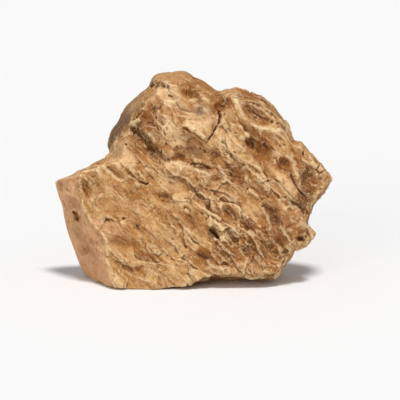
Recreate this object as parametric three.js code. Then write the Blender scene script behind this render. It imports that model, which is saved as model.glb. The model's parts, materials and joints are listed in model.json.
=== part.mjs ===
// Aquarium dragon stone: one weathered block of ochre claystone, standing on its own flat foot.
// Millimetres, +Z up, +X to the right and +Y to the back. The origin is the middle of the stone's box, on the floor.
//
// The block is a closed ball of clay that is pulled onto the stone's form. The form is a field, negative inside
// the stone: an outline, cut by a front, a back and a foot, with hollows, valleys, ridges and ledges worked into it.

import * as THREE from 'three';
import { ImprovedNoise } from 'three/addons/math/ImprovedNoise.js';
import { mergeVertices } from 'three/addons/utils/BufferGeometryUtils.js';

// Driving dimensions
const VIEW_TILT = THREE.MathUtils.degToRad(12); // the face is laid out as seen from this far above the horizon
const FRONT_DEPTH = -46; // the face lies this far in front of the middle
const BACK_DEPTH = 50; // and the back this far behind it
const MIDDLE_HEIGHT = 100; // the angles round the outline are taken from this height
const FACE_LEAN = 0.05; // how much the face leans back, beyond the tilt of the view
const CLAY_RADII = new THREE.Vector3(152, 84, 122); // half sizes of the ball of clay before it is pulled in
const CLAY_CENTRE = new THREE.Vector3(0, 6, 100);
const BALL_DETAIL = 21; // the ball has 20 x (BALL_DETAIL + 1)^2 triangles
const LONGEST_PULL = 4;
const PHASES = [ // of pulling the clay: evenly at first, then with the edges drawn to the creases, then the folds only
  { steps: 74, pull: 0.85, evening: 0.55, creaseShift: 0, foldsOnly: false },
  { steps: 14, pull: 0.85, evening: 0.12, creaseShift: 0.5, foldsOnly: false },
  { steps: 60, pull: 0.35, evening: 0.6, creaseShift: 0, foldsOnly: true },
];
const FOLD_LIMIT = 0.25; // a triangle whose normal has less than this of the form's own is part of a fold
const FACE_CROWDING = 0.3; // how strongly the triangles crowd onto the face
const FOOT_UNDERCUT = 0.46; // slope of the underside where the right half of the foot is cut back
const GRAIN_ANGLE = THREE.MathUtils.degToRad(-45); // the grain runs down to the right across the face

const noiseMaker = new ImprovedNoise();

// The outline of the block, seen from the front, in mm right of the middle and up from the floor.
const outline = [
  [-113, 19], [-121, 40], [-126, 54], [-129, 70], [-133, 84], [-137, 97], [-118, 103], [-114, 107],
  [-92, 117], [-84, 127], [-87, 134], [-77, 152], [-72, 161], [-63, 175], [-54, 185], [-46, 191],
  [-37, 203], [-29, 206], [-14, 206], [-5, 203], [0, 199], [10, 195], [25, 184], [32, 187],
  [42, 187], [55, 183], [68, 179], [84, 165], [93, 154], [101, 137], [109, 137], [118, 126],
  [124, 117], [129, 115], [138, 97], [131, 87], [118, 71], [119, 68], [110, 52], [119, 48],
  [122, 44], [118, 38], [102, 31], [98, 24], [90, 14], [84, -6], [60, -40], [-80, -40],
  [-101, -12], [-107, 4],
];

// Round the outline, at angles from its middle: the depth at which the block is widest, how fast it narrows to the
// front and to the back, and how much larger it starts, for what weathering takes away.
const girdle = [
  { at: -180, depth: -22, front: 0.3, back: 0.5, spare: 0.5 },
  { at: -170, depth: 2, front: 0.52, back: 0.6, spare: 2 },
  { at: -145, depth: 8, front: 0.52, back: 0.6, spare: 2 },
  { at: -90, depth: 0, front: 0.2, back: 0.35, spare: 2 },
  { at: -45, depth: -14, front: 0.12, back: 0.3, spare: 2 },
  { at: -28, depth: -22, front: 0.08, back: 0.36, spare: 2 },
  { at: -5, depth: -16, front: 0.12, back: 0.45, spare: 1.5 },
  { at: 12, depth: -14, front: 0.2, back: 0.6, spare: 0 },
  { at: 45, depth: -8, front: 0.3, back: 0.42, spare: 2.5 },
  { at: 75, depth: -4, front: 0.35, back: 0.5, spare: 2.5 },
  { at: 98, depth: 10, front: 0.35, back: 0.5, spare: 4 },
  { at: 118, depth: 28, front: 0.26, back: 0.6, spare: 5 },
  { at: 150, depth: 32, front: 0.28, back: 0.7, spare: 3.5 },
  { at: 166, depth: 16, front: 0.34, back: 0.7, spare: 2 },
  { at: 173, depth: -22, front: 0.3, back: 0.5, spare: 0.5 },
];

// Bowls worked into the face: centre, half length, half width, turn in degrees from +X, and depth.
const hollows = [
  { at: [-30, 188], size: [9, 4.5], turn: -25, depth: 5 }, // slot under the cap
  { at: [-1, 182], size: [13, 9], turn: -40, depth: 7 },
  { at: [1, 192], size: [6, 3.5], turn: -40, depth: 3 },
  { at: [-22, 177], size: [11, 6], turn: -35, depth: 3 },
  { at: [30, 176], size: [12, 9], turn: -20, depth: 7 }, // two bowls below the notch
  { at: [24, 167], size: [10, 6], turn: -35, depth: 6 },
  { at: [63, 161], size: [21, 10], turn: -32, depth: 7 }, // scoop of the upper right
  { at: [65, 132], size: [16, 8.5], turn: -25, depth: 10 }, // the darkest hollow
  { at: [66, 121], size: [17, 9], turn: -30, depth: 5 },
  { at: [90, 111], size: [9, 6.5], turn: -30, depth: 7 }, // the eye
  { at: [108, 122], size: [8, 7], turn: -60, depth: 3.5 },
  { at: [102, 112], size: [9, 8], turn: -60, depth: 3.5 },
  { at: [117, 96], size: [15, 10], turn: 62, depth: 5 },
  { at: [-2, 131], size: [24, 12], turn: -18, depth: 6 }, // rust-brown bay above the middle ledge
  { at: [-44, 150], size: [16, 10], turn: -35, depth: 4 },
  { at: [-97, 90], size: [12, 11], turn: -50, depth: 7 },
  { at: [-76, 103], size: [20, 7], turn: -28, depth: 4.5 },
  { at: [-115, 59], size: [6.5, 5], turn: -50, depth: 7 }, // cave in the left cheek
  { at: [-68, 35], size: [17, 6.5], turn: -18, depth: 7 },
  { at: [-54, 50], size: [8, 7], turn: -50, depth: 5 },
  { at: [-84, 72], size: [20, 8], turn: -30, depth: 2.5 },
  { at: [-26, 79], size: [11, 6], turn: -10, depth: 4 },
  { at: [8, 87], size: [7, 5], turn: -30, depth: 5 },
  { at: [38, 104], size: [15, 10], turn: -40, depth: 4 },
  { at: [37, 63], size: [11, 7], turn: -62, depth: 8 },
  { at: [56, 51], size: [11, 7], turn: -38, depth: 6 },
  { at: [39, 38], size: [12, 6], turn: -68, depth: 7 },
  { at: [21, 42], size: [8, 6], turn: -60, depth: 12 }, // deep black hole
  { at: [12, 21], size: [12, 7], turn: -50, depth: 5 },
  { at: [78, 68], size: [11, 7], turn: -25, depth: 8 },
  { at: [82, 56], size: [9, 6], turn: -60, depth: 5 },
  { at: [76, 28], size: [13, 6.5], turn: -55, depth: 7 },
  { at: [87, 33], size: [13, 5.5], turn: -62, depth: 5 },
  { at: [54, 26], size: [9, 6], turn: -35, depth: 4.5 },
  { at: [110, 45], size: [6, 3.5], turn: -12, depth: 8 }, // cave under the lug
  { at: [105, 36], size: [5, 5], turn: 0, depth: 12 },
];

// Valleys worked along a line of points, with their half width and depth.
const valleys = [
  { line: [[25, 187], [26, 170], [25, 156], [21, 146], [15, 135]], width: 4.5, depth: 7 }, // gully and crack
  { line: [[-66, 150], [-57, 145], [-49, 135], [-41, 127], [-30, 112]], width: 9, depth: 10 },
  { line: [[45, 156], [52, 147], [59, 141]], width: 6, depth: 6 },
  { line: [[97, 134], [99, 126], [103, 117], [108, 110]], width: 3.5, depth: 3 },
  { line: [[96, 106], [101, 93], [107, 84], [112, 71]], width: 4, depth: 6 },
  { line: [[92, 84], [98, 76], [105, 69], [109, 58]], width: 4.5, depth: 6 },
  { line: [[-114, 96], [-108, 88], [-104, 79], [-99, 70], [-96, 62]], width: 4, depth: 5 },
  { line: [[22, 124], [23, 115], [20, 105], [27, 98], [33, 88]], width: 4, depth: 4 },
];

// Ridges raised along a line of points, with their half width and height.
const ridges = [
  { line: [[39, 180], [43, 168], [49, 155], [60, 149], [76, 147], [96, 137]], width: 6, height: 4.5 },
  { line: [[-112, 86], [-109, 72], [-107, 64], [-97, 52], [-86, 40]], width: 4, height: 3 },
  { line: [[78, 104], [91, 96], [99, 86], [104, 78]], width: 7, height: 4 },
  { line: [[-45, 182], [-30, 172], [-14, 176]], width: 7, height: 3 },
  { line: [[-26, 160], [-14, 146], [0, 147], [14, 139]], width: 8, height: 3.5 },
  { line: [[12, 98], [16, 86], [24, 76], [33, 68]], width: 5, height: 3 },
  { line: [[46, 66], [60, 58], [76, 50]], width: 5, height: 3 },
  { line: [[44, 43], [56, 44], [68, 38]], width: 4, height: 3 },
  { line: [[88, 49], [94, 38], [100, 30]], width: 3.5, height: 3 },
];

// Ledges: the face drops behind the left-hand side of the line, then fades back over a distance.
const ledges = [
  { line: [[-24, 112], [-12, 113], [-3, 110], [5, 106], [18, 101]], drop: 11, fade: 26 }, // middle ledge
  { line: [[-92, 112], [-72, 122], [-54, 116], [-38, 112]], drop: 3, fade: 26 },
  { line: [[-84, 93], [-72, 83], [-60, 74], [-48, 66]], drop: 3, fade: 14 },
  { line: [[-60, 100], [-48, 94], [-40, 82], [-30, 70]], drop: 3, fade: 12 },
  { line: [[52, 140], [50, 130], [56, 120], [62, 110]], drop: 5, fade: 18 },
  { line: [[-82, 42], [-68, 40], [-58, 35]], drop: 2.5, fade: 10 },
];

// Facets of the back, each as the depth of a plane: offset, slope to the right and slope upwards from the middle.
const backFacets = [
  { offset: -1, right: 0.06, up: -0.08 },
  { offset: 14, right: -0.5, up: 0.02 },
  { offset: 25, right: 0.62, up: -0.1 },
  { offset: 7, right: 0.08, up: -0.5 },
  { offset: 28, right: -0.2, up: 0.55 },
];

// Scoops weathered into the back, top and sides: how many, and their sizes.
const SCOOPS = 130;
const SCOOP_RADIUS = [7, 30];
const SCOOP_DEPTH = [0.24, 0.42]; // as a share of the radius
const SCOOP_LENGTHENING = 0.5; // 0 for round scoops, towards 1 for long ones along the grain
const GRAIN_AXIS = new THREE.Vector3(Math.cos(GRAIN_ANGLE), 0, Math.sin(GRAIN_ANGLE));
const GOLDEN_TURN = Math.PI * (3 - Math.sqrt(5));

const clamp = THREE.MathUtils.clamp;
const smoothstep = THREE.MathUtils.smoothstep;

// Larger of two values, rounded where they meet.
function roundedMax(a, b, radius) {
  const h = Math.max(radius - Math.abs(a - b), 0) / radius;
  return Math.max(a, b) + (h * h * radius) / 4;
}

// A repeatable stream of numbers from 0 to 1.
function randomStream(seed) {
  let state = seed;
  return () => {
    state = (Math.imul(state, 1664525) + 1013904223) >>> 0;
    return state / 4294967296;
  };
}

// A point as the front view has it: u to the right, v upwards in the picture plane, w into the picture.
function toView(p) {
  const c = Math.cos(VIEW_TILT);
  const s = Math.sin(VIEW_TILT);
  return { u: p.x, v: p.z * c + p.y * s, w: p.y * c - p.z * s };
}

// Noise stretched along the grain, from -1 to 1, for a ridge spacing in mm.
function grainNoise(u, v, w, spacing, stretch = 2.6) {
  const along = u * Math.cos(GRAIN_ANGLE) + v * Math.sin(GRAIN_ANGLE);
  const across = v * Math.cos(GRAIN_ANGLE) - u * Math.sin(GRAIN_ANGLE);
  return noiseMaker.noise(along / (spacing * stretch), across / spacing, w / (spacing * 1.6));
}

// Signed distance from the outline, negative inside it.
function outlineDistance(u, v) {
  let nearest = Infinity;
  let inside = false;
  for (let i = 0, j = outline.length - 1; i < outline.length; j = i++) {
    const [ax, ay] = outline[j];
    const [bx, by] = outline[i];
    const t = clamp(((u - ax) * (bx - ax) + (v - ay) * (by - ay)) / ((bx - ax) ** 2 + (by - ay) ** 2), 0, 1);
    nearest = Math.min(nearest, Math.hypot(u - ax - t * (bx - ax), v - ay - t * (by - ay)));
    if (ay > v !== by > v && u < ((bx - ax) * (v - ay)) / (by - ay) + ax) inside = !inside;
  }
  return inside ? -nearest : nearest;
}

// The girdle's values at an angle round the outline, in degrees.
function girdleAt(angle) {
  let i = girdle.findIndex((g) => g.at > angle);
  if (i < 0) i = girdle.length;
  const a = girdle[i - 1];
  const b = girdle[i % girdle.length];
  const t = (angle - a.at) / ((i < girdle.length ? b.at : b.at + 360) - a.at);
  const mix = (key) => a[key] + (b[key] - a[key]) * t;
  return { depth: mix('depth'), front: mix('front'), back: mix('back'), spare: mix('spare') };
}

// The sides: the outline, narrowing to the front and to the back from the girdle.
function sideField(u, v, w) {
  const angle = THREE.MathUtils.radToDeg(Math.atan2(v - MIDDLE_HEIGHT, u));
  const g = girdleAt(angle);
  const away = w - g.depth - 9 * noiseMaker.noise(u / 55, v / 55, 3.7);
  const slope = away < 0 ? g.front : g.back;
  const round = 5;
  const inset = slope * (Math.hypot(away, round) - round);
  return (outlineDistance(u, v) - g.spare + inset) / Math.hypot(1, slope);
}

// Nearest point of a line of points: the distance, the side (+1 left, -1 right) and the share of the way along.
function alongLine(line, u, v) {
  let best = { distance: Infinity, side: 1, share: 0 };
  for (let i = 1; i < line.length; i++) {
    const [ax, ay] = line[i - 1];
    const [bx, by] = line[i];
    const t = clamp(((u - ax) * (bx - ax) + (v - ay) * (by - ay)) / ((bx - ax) ** 2 + (by - ay) ** 2), 0, 1);
    const distance = Math.hypot(u - ax - t * (bx - ax), v - ay - t * (by - ay));
    if (distance < best.distance) {
      const side = (bx - ax) * (v - ay) - (by - ay) * (u - ax) > 0 ? 1 : -1;
      best = { distance, side, share: (i - 1 + t) / (line.length - 1) };
    }
  }
  return best;
}

// Full along a line, tapering over its first and last sixth.
function endTaper(share) {
  return smoothstep(share, -0.08, 0.16) * (1 - smoothstep(share, 0.84, 1.08));
}

// How far the face is worked inwards at a place on it.
function faceRelief(u, v) {
  let depth = 0;
  for (const { at, size, turn, depth: full } of hollows) {
    const a = THREE.MathUtils.degToRad(turn);
    const along = ((u - at[0]) * Math.cos(a) + (v - at[1]) * Math.sin(a)) / size[0];
    const across = ((v - at[1]) * Math.cos(a) - (u - at[0]) * Math.sin(a)) / size[1];
    const r2 = along * along + across * across;
    if (r2 < 1) depth += full * (1 - r2);
  }
  for (const { line, width, depth: full } of valleys) {
    const near = alongLine(line, u, v);
    if (near.distance < width) depth += full * (1 - near.distance / width) * endTaper(near.share);
  }
  for (const { line, width, height } of ridges) {
    const near = alongLine(line, u, v);
    if (near.distance < width) depth -= height * (1 - near.distance / width) * endTaper(near.share);
  }
  for (const { line, drop, fade } of ledges) {
    const near = alongLine(line, u, v);
    if (near.side > 0 && near.distance < fade) {
      const share = 1 - near.distance / fade;
      depth += drop * share * share * endTaper(near.share) * smoothstep(near.distance, 0, 2.5);
    }
  }
  return depth;
}

function faceField(u, v, w) {
  const lumps = 2.6 * grainNoise(u, v, 0, 15) + 1.4 * grainNoise(u, v, 40, 7);
  return FRONT_DEPTH + FACE_LEAN * (v - MIDDLE_HEIGHT) + faceRelief(u, v) + lumps - w;
}

function backField(u, v, w) {
  let field = -Infinity;
  for (const { offset, right, up } of backFacets) {
    const depth = BACK_DEPTH + offset + right * u + up * (v - MIDDLE_HEIGHT);
    const plane = (w - depth) / Math.hypot(1, right, up);
    field = roundedMax(field, plane, 6);
  }
  return field;
}

// The foot: flat on the floor in patches, hollowed between them, and cut back under the right half of the face.
function footField(p) {
  const patchy = 7 * noiseMaker.noise(p.x / 34, p.y / 24, 8.2) - 0.8;
  const uneven = 9 * noiseMaker.noise(p.x / 20, p.y / 16, 5.1);
  const undercut = FOOT_UNDERCUT * (uneven - 12 - p.y) * smoothstep(p.x, -18, 22);
  const rightRise = 0.5 * (p.x - 74);
  return Math.max(0, patchy, undercut, rightRise) - p.z;
}

// The block before weathering.
function blockField(p) {
  const { u, v, w } = toView(p);
  const sides = roundedMax(sideField(u, v, w), backField(u, v, w), 5);
  return roundedMax(roundedMax(sides, faceField(u, v, w), 2), footField(p), 1.5);
}

// The point where a ray from the middle of the block leaves it.
function surfacePoint(direction) {
  let near = 0;
  let far = 170;
  for (let i = 0; i < 26; i++) {
    const middle = (near + far) / 2;
    const p = direction.clone().multiplyScalar(middle).add(CLAY_CENTRE);
    if (blockField(p) < 0) near = middle;
    else far = middle;
  }
  return direction.clone().multiplyScalar(near).add(CLAY_CENTRE);
}

// Scoops spread over the block, left off the foot and what the front view shows, and shallow near the outline.
// Most are small and some are large.
function makeScoops() {
  const random = randomStream(20);
  const between = ([low, high], share) => low + (high - low) * share;
  const scoops = [];
  for (let i = 0; i < SCOOPS; i++) {
    const up = clamp(1 - (2 * (i + 0.5)) / SCOOPS + 0.1 * (random() - 0.5), -1, 1);
    const across = Math.sqrt(1 - up * up);
    const turn = i * GOLDEN_TURN + 0.8 * random();
    const direction = new THREE.Vector3(across * Math.cos(turn), across * Math.sin(turn), up);
    direction.multiply(CLAY_RADII).normalize();
    const radius = between(SCOOP_RADIUS, random() ** 2.2);
    const depth = radius * between(SCOOP_DEPTH, random());
    const place = surfacePoint(direction);
    const normal = gradient(blockField, place, blockField(place)).normalize();
    const seenFromFront = toView(normal).w < 0.2;
    if (seenFromFront || place.z < 12) continue;
    const { u, v } = toView(place);
    const kept = smoothstep(outlineDistance(u, v), -1.5 * radius, 0) * 0.4;
    scoops.push({ centre: place.addScaledVector(normal, radius - depth * (1 - kept)), radius });
  }
  return scoops;
}

// The slope of a field at a point where it has the given value.
function gradient(field, p, value) {
  const step = 0.5;
  const rise = (x, y, z) => field(new THREE.Vector3(p.x + x, p.y + y, p.z + z)) - value;
  return new THREE.Vector3(rise(step, 0, 0), rise(0, step, 0), rise(0, 0, step)).divideScalar(step);
}

const scoops = makeScoops();

// The weathered stone: the block with its scoops, and lumps and ridges along the grain.
function stoneField(p) {
  const { u, v, w } = toView(p);
  let field = blockField(p);
  for (const { centre, radius } of scoops) {
    const offset = p.clone().sub(centre);
    const bowl = radius - Math.sqrt(offset.lengthSq() - SCOOP_LENGTHENING * offset.dot(GRAIN_AXIS) ** 2);
    if (bowl > -6) field = roundedMax(field, bowl, 1.2);
  }
  const offFace = smoothstep(w, FRONT_DEPTH + 8, FRONT_DEPTH + 26);
  const offFoot = smoothstep(p.z, 3, 16);
  const offOutline = 0.2 + 0.8 * smoothstep(-outlineDistance(u, v), 2, 15);
  const lumps = 4 * grainNoise(u, v, w, 26, 1.4) + 3.4 * grainNoise(u, v, w, 14, 2) + 1.5 * grainNoise(u, v, w, 8);
  return field + offFace * offFoot * offOutline * lumps;
}

function trianglesOf(index) {
  const triangles = [];
  for (let i = 0; i < index.count; i += 3) triangles.push([index.getX(i), index.getX(i + 1), index.getX(i + 2)]);
  return triangles;
}

// The neighbours of each vertex.
function neighboursOf(triangles, count) {
  const neighbours = Array.from({ length: count }, () => new Set());
  for (const [a, b, c] of triangles) {
    neighbours[a].add(b).add(c);
    neighbours[b].add(c).add(a);
    neighbours[c].add(a).add(b);
  }
  return neighbours.map((set) => [...set]);
}

// The vertices of triangles that don't face the way the form does there, and their neighbours.
function foldedVertices(points, neighbours, triangles) {
  const folded = new Set();
  const face = new THREE.Triangle();
  const facing = new THREE.Vector3();
  for (const corners of triangles) {
    face.set(...corners.map((i) => points[i]));
    face.getNormal(facing);
    const middle = face.getMidpoint(new THREE.Vector3());
    const outward = gradient(stoneField, middle, stoneField(middle)).normalize();
    if (facing.dot(outward) < FOLD_LIMIT) corners.forEach((i) => folded.add(i));
  }
  for (const i of [...folded]) neighbours[i].forEach((n) => folded.add(n));
  return [...folded];
}

// The move that brings a point nearest to the tangent planes at its neighbours: towards a crease, if one is near.
function creaseShift(p, around, points, normals) {
  const planes = new THREE.Matrix3().identity().multiplyScalar(0.4);
  const pull = new THREE.Vector3();
  const sums = planes.elements;
  for (const n of around) {
    const normal = normals.get(n);
    const xyz = normal.toArray();
    for (let row = 0; row < 3; row++) {
      for (let column = 0; column < 3; column++) sums[3 * column + row] += xyz[row] * xyz[column];
    }
    pull.addScaledVector(normal, normal.dot(points[n]) - normal.dot(p));
  }
  return pull.applyMatrix3(planes.invert());
}

// The part of a move that runs along the surface.
function alongSurface(move, normal) {
  return move.addScaledVector(normal, -move.dot(normal));
}

// The middle of a point's neighbours, drawn towards those on the face.
function crowdedMiddle(around, points) {
  const middle = new THREE.Vector3();
  let total = 0;
  for (const n of around) {
    const weight = 1 + FACE_CROWDING * (1 - smoothstep(toView(points[n]).w, FRONT_DEPTH, FRONT_DEPTH + 50));
    middle.addScaledVector(points[n], weight);
    total += weight;
  }
  return middle.divideScalar(total);
}

// One step of pulling the clay onto the form.
function pullClay(points, neighbours, triangles, phase) {
  const moving = phase.foldsOnly ? foldedVertices(points, neighbours, triangles) : [...points.keys()];
  const values = new Map(moving.map((i) => [i, stoneField(points[i])]));
  const slopes = new Map(moving.map((i) => [i, gradient(stoneField, points[i], values.get(i))]));
  const normals = new Map(moving.map((i) => [i, slopes.get(i).clone().normalize()]));
  const moves = moving.map((i) => {
    const normal = normals.get(i);
    const move = alongSurface(crowdedMiddle(neighbours[i], points).sub(points[i]), normal);
    move.multiplyScalar(phase.evening);
    if (phase.creaseShift > 0) {
      const shift = alongSurface(creaseShift(points[i], neighbours[i], points, normals), normal);
      move.add(shift.clampLength(0, phase.creaseShift));
    }
    const pull = clamp(-values.get(i) / Math.max(slopes.get(i).length(), 0.5), -LONGEST_PULL, LONGEST_PULL);
    return move.addScaledVector(normal, phase.pull * pull);
  });
  moving.forEach((i, n) => {
    points[i].add(moves[n]);
    if (points[i].z < 0.5) points[i].z = 0;
  });
}

// Makes the stone from a ball of clay, on the floor and centred on the origin.
function makeStone() {
  const ball = new THREE.IcosahedronGeometry(1, BALL_DETAIL);
  ball.deleteAttribute('normal');
  ball.deleteAttribute('uv');
  const stone = mergeVertices(ball, 1e-4);
  const position = stone.getAttribute('position');
  const points = Array.from({ length: position.count }, (_, i) =>
    new THREE.Vector3().fromBufferAttribute(position, i).multiply(CLAY_RADII).add(CLAY_CENTRE),
  );

  const triangles = trianglesOf(stone.index);
  const neighbours = neighboursOf(triangles, position.count);
  for (const phase of PHASES) {
    for (let step = 0; step < phase.steps; step++) pullClay(points, neighbours, triangles, phase);
  }

  const box = new THREE.Box3().setFromPoints(points);
  const middle = box.getCenter(new THREE.Vector3());
  points.forEach((p, i) => position.setXYZ(i, p.x - middle.x, p.y - middle.y, p.z - box.min.z));
  stone.computeVertexNormals();
  return stone;
}

const claystone = new THREE.MeshStandardMaterial({ color: 0xba8a58, roughness: 0.92, metalness: 0 });

const group = new THREE.Group();
const stone = new THREE.Mesh(makeStone(), claystone);
stone.name = 'dragon_stone';
group.add(stone);

export default group;
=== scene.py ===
import json
import math

import bpy
import numpy as np
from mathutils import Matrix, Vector, noise

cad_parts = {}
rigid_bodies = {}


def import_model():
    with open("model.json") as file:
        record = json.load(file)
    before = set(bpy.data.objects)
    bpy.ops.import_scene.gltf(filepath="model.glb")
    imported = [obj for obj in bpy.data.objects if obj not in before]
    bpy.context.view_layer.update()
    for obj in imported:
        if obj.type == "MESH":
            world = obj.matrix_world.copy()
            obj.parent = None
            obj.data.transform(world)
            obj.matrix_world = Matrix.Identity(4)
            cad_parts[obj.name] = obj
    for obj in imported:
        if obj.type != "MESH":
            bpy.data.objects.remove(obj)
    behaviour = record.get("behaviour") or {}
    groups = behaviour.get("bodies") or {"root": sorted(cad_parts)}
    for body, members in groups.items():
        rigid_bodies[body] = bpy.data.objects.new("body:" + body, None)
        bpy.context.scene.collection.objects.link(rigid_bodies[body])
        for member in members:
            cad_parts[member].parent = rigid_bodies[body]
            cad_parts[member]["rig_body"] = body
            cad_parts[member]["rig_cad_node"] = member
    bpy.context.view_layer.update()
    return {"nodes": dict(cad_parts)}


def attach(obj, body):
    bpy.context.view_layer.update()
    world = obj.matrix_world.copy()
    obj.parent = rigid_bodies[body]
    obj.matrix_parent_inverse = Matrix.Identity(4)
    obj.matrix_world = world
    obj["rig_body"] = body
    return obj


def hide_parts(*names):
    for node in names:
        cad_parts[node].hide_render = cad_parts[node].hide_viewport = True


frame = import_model()

# One weathered block of ochre claystone, dressed over its solid. Lengths here are in millimetres
# and are turned into metres where they meet Blender. "Across" and "up" are measured on the broad
# face as the camera sees it, and "depth" runs from the camera into the stone.
MM = 0.001
STONE_NODE = "dragon_stone"
VIEW_TILT = math.radians(12)
FACE_MIDDLE_DEPTH = -10

# The grain of the clay runs down to the right, and more steeply at the lower right of the face.
GRAIN_TURN = math.radians(-45)
STEEP_GRAIN_TURN = math.radians(-60)

# Mesh sizes: the carving mesh, the weathering mesh and the finished number of triangles.
CARVING_VOXEL = 1.15
WEATHERING_VOXEL = 0.9
FINISHED_TRIANGLES = 193000

# Noise takes its seed from the clock unless it has one, and the stone has to weather alike every time.
WEATHERING_SEED = 8
noise.seed_set(WEATHERING_SEED)

# Mixes that give each shard its own numbers.
SHARD_MIXES = np.array([
    (12.99, 78.23, 37.72),
    (39.35, 11.14, 83.16),
    (73.16, 52.24, 9.15),
    (26.65, 17.93, 61.41),
])
SHARD_SCRAMBLE = 437.5453


# Small helpers for points, edges and fades.

def smoothstep(low, high, value):
    t = np.clip((value - low) / (high - low), 0, 1)
    return t * t * (3 - 2 * t)


def points_of(stone):
    """The stone's points in millimetres."""
    flat = np.empty(len(stone.data.vertices) * 3, np.float32)
    stone.data.vertices.foreach_get("co", flat)
    return flat.reshape(-1, 3).astype(float) / MM


def move_points(stone, points):
    stone.data.vertices.foreach_set("co", (points * MM).astype(np.float32).ravel())
    stone.data.update()


def normals_of(stone):
    flat = np.empty(len(stone.data.vertices) * 3, np.float32)
    stone.data.vertex_normals.foreach_get("vector", flat)
    return flat.reshape(-1, 3).astype(float)


def edges_of(stone):
    flat = np.empty(len(stone.data.edges) * 2, np.int32)
    stone.data.edges.foreach_get("vertices", flat)
    return flat.reshape(-1, 2)


def store_mask(stone, name, values):
    layer = stone.data.attributes.new(name, "FLOAT", "POINT")
    layer.data.foreach_set("value", values.astype(np.float32))


def spread(values, edges, rounds):
    """Evens out values over neighbouring points."""
    first, second = edges.T
    count = len(values)
    ends = np.concatenate([first, second])
    share = 1 / np.maximum(np.bincount(ends, minlength=count), 1)
    for _ in range(rounds):
        flow = np.concatenate([values[second], values[first]])
        columns = [np.bincount(ends, column, count) * share for column in flow.T]
        values = np.stack(columns, 1)
    return values


def evened_normals(stone, edges, rounds):
    normals = spread(normals_of(stone), edges, rounds)
    return normals / np.linalg.norm(normals, axis=1)[:, None]


def stand_proud(points, normals, edges, rounds):
    """How far each point stands out of its surroundings, in millimetres."""
    evened = spread(points, edges, rounds)
    return ((points - evened) * normals).sum(1)


def seen_from_front(vectors):
    """Across, up and depth of points or directions."""
    x, y, z = vectors.T
    up = z * math.cos(VIEW_TILT) + y * math.sin(VIEW_TILT)
    depth = y * math.cos(VIEW_TILT) - z * math.sin(VIEW_TILT)
    return x, up, depth


def from_front(across, up, depth):
    """The inverse of seen_from_front, as rows of x, y, z."""
    y = depth * math.cos(VIEW_TILT) + up * math.sin(VIEW_TILT)
    z = up * math.cos(VIEW_TILT) - depth * math.sin(VIEW_TILT)
    return np.stack([across, y, z], 1)


def facing_front(stone):
    """1 where the surface belongs to the broad face, 0 at the sides and behind."""
    depth_side = seen_from_front(normals_of(stone))[2]
    return smoothstep(0.05, 0.4, -depth_side)


def along_grain(points, stretch, turn=GRAIN_TURN):
    """The points in a frame that runs along the clay's grain, drawn out by stretch along it."""
    across, up, depth = seen_from_front(points)
    along = across * math.cos(turn) + up * math.sin(turn)
    over = up * math.cos(turn) - across * math.sin(turn)
    return np.stack([along / stretch, over, depth], 1)


# Patterns. Each has a size in millimetres, or a kind, which is its size and its depth or height, and
# a sample, which picks another part of the same noise.

def cloud(points, size, sample, octaves=2):
    """Soft noise, about -1 to 1, with lumps of the given size."""
    rows = (points / size + sample).tolist()
    return np.array([noise.fractal(row, 1.0, 2.0, octaves) for row in rows])


def drift(points, size, sample):
    """A noise vector at each point."""
    rows = (points / size + sample).tolist()
    return np.array([noise.noise_vector(row) for row in rows])


def bend(points, waves):
    """How far each point is shifted by waves that each have a size, a reach and a sample."""
    return sum(drift(points, size, sample) * reach for size, reach, sample in waves)


def shards(points, size, sample):
    """Broken shards: how far inside its shard a point is, the shard's number and its tilt there."""
    places = points / size + sample
    found = [noise.voronoi(row) for row in places.tolist()]
    inside = np.array([distances[1] - distances[0] for distances, _ in found])
    middles = np.array([middle[0] for _, middle in found])
    number, *slopes = [np.sin(middles @ mix) * SHARD_SCRAMBLE % 1 for mix in SHARD_MIXES]
    away = places - middles
    tilt = sum((slope - 0.5) * away[:, axis] for axis, slope in enumerate(slopes))
    return inside, number, tilt * 2


def scoops(points, kind, sample):
    """Concave scoops that meet in sharp rims: how deep they go, and how near a rim is."""
    size, depth = kind
    inside, number, _ = shards(points, size, sample)
    bowl = np.clip(inside / 0.55, 0, 1)
    hollow = bowl * (2 - bowl) * (0.25 + number)
    return depth * (hollow - 0.5), (1 - smoothstep(0.02, 0.16, inside)) * (0.25 + number)


def blades(points, kind, sample):
    """Overlapping blades that rise at a lip and slope back to the next: how high, and how near a lip."""
    size, height = kind
    phase = (points[:, 1] / size + 0.9 * cloud(points, 1.5 * size, sample, 1)) % 1
    rise = smoothstep(0, 0.14, phase)
    return height * (rise * (1 - phase) - 0.45), rise * (1 - smoothstep(0.14, 0.30, phase))


def fins(points, size, sample):
    """Sharp-crested noise, 0 in the troughs and about 1 on the crests."""
    return 1 - np.minimum(np.abs(cloud(points, size, sample, 1)) * 2.2, 1)


# The bends that keep forms and patterns from being regular: size, reach and sample of each wave.
FACE_BEND = [(11, 2.4, 11.3), (4, 1.2, 4.1)]
GRAIN_BEND = [(20, 6, 3.7), (7, 1.6, 8.9), (2.2, 0.4, 5.3)]
FIBRE_BEND = [(24, 7, 91.0), (7, 1.2, 95.0)]
MARK_BEND = [(5, 0.9, 14.3), (1.8, 0.6, 24.1)]
STAIN_BEND = [(12, 4, 71.0), (4, 2, 75.0)]
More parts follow.
